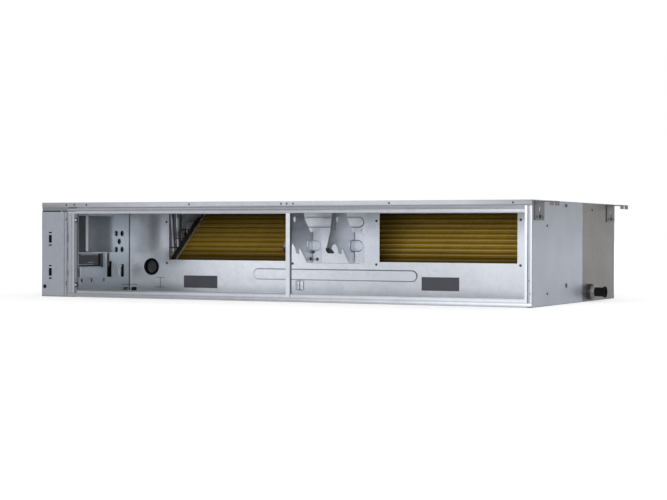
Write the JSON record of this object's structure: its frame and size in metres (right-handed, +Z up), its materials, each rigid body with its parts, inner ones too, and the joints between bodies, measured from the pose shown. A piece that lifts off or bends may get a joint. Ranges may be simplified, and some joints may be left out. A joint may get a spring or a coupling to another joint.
{
  "type": "ducted air conditioner indoor unit",
  "caption": "Slim ducted indoor unit, fan bay open and blowers out: galvanised casing, motor cradles, slanted gold coil, drain pan, side electrical box, pipe stubs, ceiling lugs.",
  "frame": {"origin": "centre of the casing's underside, without the electrical box", "axes": "+X to the right seen from the open return side, towards the drain outlet; +Y to the discharge side; +Z up"},
  "size_m": [1.194, 0.58, 0.21],
  "materials": {
    "galvanised_sheet": "galvanised",
    "galvanised_rear_sheet": "galvanised, warm grey",
    "grey_plastic": "moulded",
    "black_rubber": "matt",
    "black_foam": "foam",
    "circuit_board": "lacquered board",
    "cream_plastic": "moulded",
    "gold_fins": "gold coated fins",
    "copper_tube": "bare copper",
    "brass": "bare brass"
  },
  "bodies": {
    "unit": {"top_panel": "galvanised_sheet", "base_panel": "galvanised_sheet", "bay_floor_panel": "galvanised_sheet", "right_side_panel": "galvanised_sheet", "left_side_wall": "galvanised_sheet", "left_rear_panel": "galvanised_sheet", "rear_frame": "galvanised_sheet", "discharge_collar": "galvanised_sheet", "fan_deck": "galvanised_sheet", "front_top_rail": "galvanised_sheet", "front_bottom_rail": "galvanised_sheet", "right_front_post": "galvanised_sheet", "left_front_post": "galvanised_sheet", "centre_mullion": "galvanised_sheet", "cable_trough": "galvanised_sheet", "harness_clip": "galvanised_sheet", "hanger_front_right": "galvanised_sheet", "hanger_rear_right": "galvanised_sheet", "hanger_front_left": "galvanised_sheet", "hanger_rear_left": "galvanised_sheet", "motor_cradle_left": "galvanised_sheet", "motor_cradle_right": "galvanised_sheet", "box_tray": "galvanised_sheet", "box_divider": "galvanised_sheet", "coil_end_plate_left": "galvanised_sheet", "coil_end_plate_right": "galvanised_sheet", "right_rear_panel": "galvanised_rear_sheet", "cable_anchor": "grey_plastic", "fan_capacitor": "grey_plastic", "drain_collar": "grey_plastic", "cable_grommet": "black_rubber", "cradle_pad_left": "black_rubber", "cradle_pad_right": "black_rubber", "gas_pipe_seal": "black_rubber", "liquid_pipe_seal": "black_rubber", "top_foam": "black_foam", "side_foam": "black_foam", "drain_pan": "black_foam", "control_board": "circuit_board", "terminal_block": "cream_plastic", "coil_fins": "gold_fins", "gas_pipe": "copper_tube", "liquid_pipe": "copper_tube"},
    "box_cover": {"box_cover": "galvanised_sheet"},
    "drain_sleeve": {"drain_sleeve": "black_rubber"},
    "gas_flare_nut": {"gas_flare_nut": "brass"},
    "liquid_flare_nut": {"liquid_flare_nut": "brass"}
  },
  "joints": [
    {"name": "box_cover_lift_off", "type": "slide", "parent": "unit", "child": "box_cover", "axis": [-1, 0, 0], "range_m": [0, 0.12]},
    {"name": "drain_sleeve_pull_off", "type": "slide", "parent": "unit", "child": "drain_sleeve", "axis": [1, 0, 0], "range_m": [0, 0.06]},
    {"name": "gas_flare_nut_turn", "type": "hinge", "parent": "unit", "child": "gas_flare_nut", "pos_m": [-0.5835, 0.19238, 0.14], "axis": [1, 0, 0], "continuous": true},
    {"name": "liquid_flare_nut_turn", "type": "hinge", "parent": "unit", "child": "liquid_flare_nut", "pos_m": [-0.5835, 0.19238, 0.075], "axis": [1, 0, 0], "continuous": true}
  ]
}
